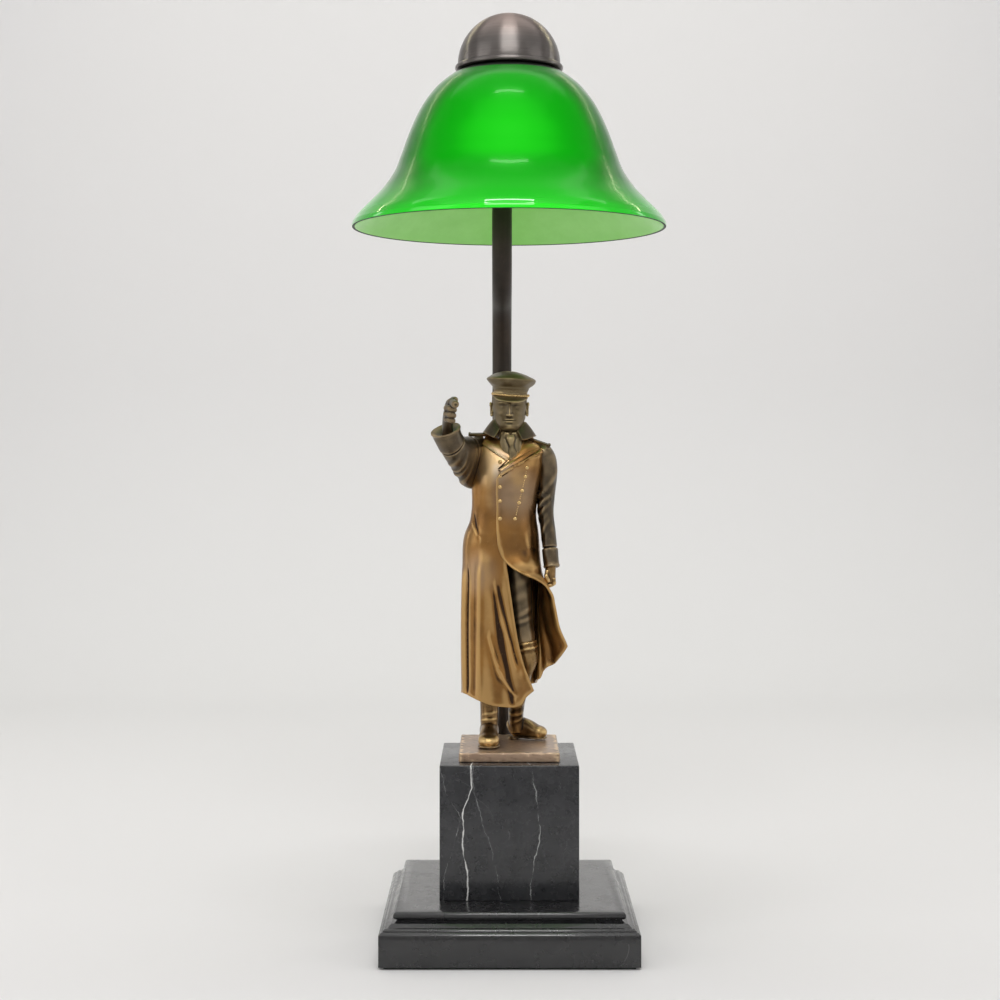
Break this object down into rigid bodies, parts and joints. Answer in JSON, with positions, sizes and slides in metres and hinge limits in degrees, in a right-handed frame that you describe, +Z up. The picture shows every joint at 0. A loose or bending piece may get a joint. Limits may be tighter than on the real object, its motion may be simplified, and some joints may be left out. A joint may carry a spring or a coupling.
{
  "type": "figural table lamp",
  "caption": "Table lamp with a cast bronze figure of an officer on a marble plinth and stepped board; a bent stem behind it carries a bell-shaped glass shade under a domed metal cap.",
  "frame": {"origin": "centre of the underside of the felt, on the table", "axes": "+Z up; -Y is the front, the way the figure faces; +X is to the right seen from the front"},
  "size_m": [0.2052, 0.2052, 0.6004],
  "materials": {
    "lacquered_wood": "black lacquer, semi-gloss, lightly scratched",
    "felt": "napped felt",
    "black_plastic": "moulded, matt",
    "black_marble": "polished, white veins",
    "steel": "zinc plated",
    "dark_brass": "brown-black patina, satin",
    "brass": "lacquered, satin",
    "porcelain": "glazed, white",
    "bulb_metal": "rolled thread, bright",
    "bulb_glass": "frosted inside",
    "rubber": "matt",
    "green_glass": "polished, green over opal",
    "aged_metal": "spun, brown-grey antique finish",
    "bronze": "brown and golden patina, waxed"
  },
  "bodies": {
    "lamp": {"base_board": "lacquered_wood", "base_felt": "felt", "cord_gland": "black_plastic", "marble_plinth": "black_marble", "tie_rods": "steel", "tie_washers": "steel", "tie_nuts": "steel", "stem_tube": "dark_brass", "stem_pipe": "steel", "stem_washer": "steel", "stem_nut": "steel", "hub_body": "brass", "hub_lid": "brass", "socket_arm_left": "brass", "socket_arm_right": "brass", "holder_shell_left": "brass", "holder_shell_right": "brass", "holder_insert_left": "porcelain", "holder_insert_right": "porcelain", "holder_contact_left": "brass", "holder_contact_right": "brass", "crown_pipe": "steel", "shade_carrier": "brass", "carrier_nut": "steel", "rubber_washer_lower": "rubber", "rubber_washer_upper": "rubber", "figure_plate": "bronze", "coat": "bronze", "coat_flap": "bronze", "coat_collar": "bronze", "coat_buttons": "bronze", "trouser_leg": "bronze", "boot_standing": "bronze", "boot_striding": "bronze", "head": "bronze", "service_cap": "bronze", "cap_visor": "bronze", "sleeve_pointing": "bronze", "hand_pointing": "bronze", "sleeve_hanging": "bronze", "hand_hanging": "bronze", "epaulette_left": "bronze", "epaulette_right": "bronze"},
    "shade": {"glass_shade": "green_glass"},
    "cap": {"dome_cap": "aged_metal", "dome_boss": "aged_metal"},
    "bulb_left": {"bulb_cap_left": "bulb_metal", "bulb_glass_left": "bulb_glass"},
    "bulb_right": {"bulb_cap_right": "bulb_metal", "bulb_glass_right": "bulb_glass"}
  },
  "joints": [
    {"name": "shade_turn", "type": "hinge", "parent": "lamp", "child": "shade", "pos_m": [0, 0, 0.5657], "axis": [0, 0, 1], "continuous": true},
    {"name": "cap_turn", "type": "hinge", "parent": "lamp", "child": "cap", "pos_m": [0, 0, 0.58], "axis": [0, 0, 1], "continuous": true},
    {"name": "bulb_left_turn", "type": "hinge", "parent": "lamp", "child": "bulb_left", "pos_m": [-0.02685, 0, 0.51474], "axis": [-0.6018, 0, -0.7986], "continuous": true},
    {"name": "bulb_right_turn", "type": "hinge", "parent": "lamp", "child": "bulb_right", "pos_m": [0.02685, 0, 0.51474], "axis": [0.6018, 0, -0.7986], "continuous": true}
  ]
}
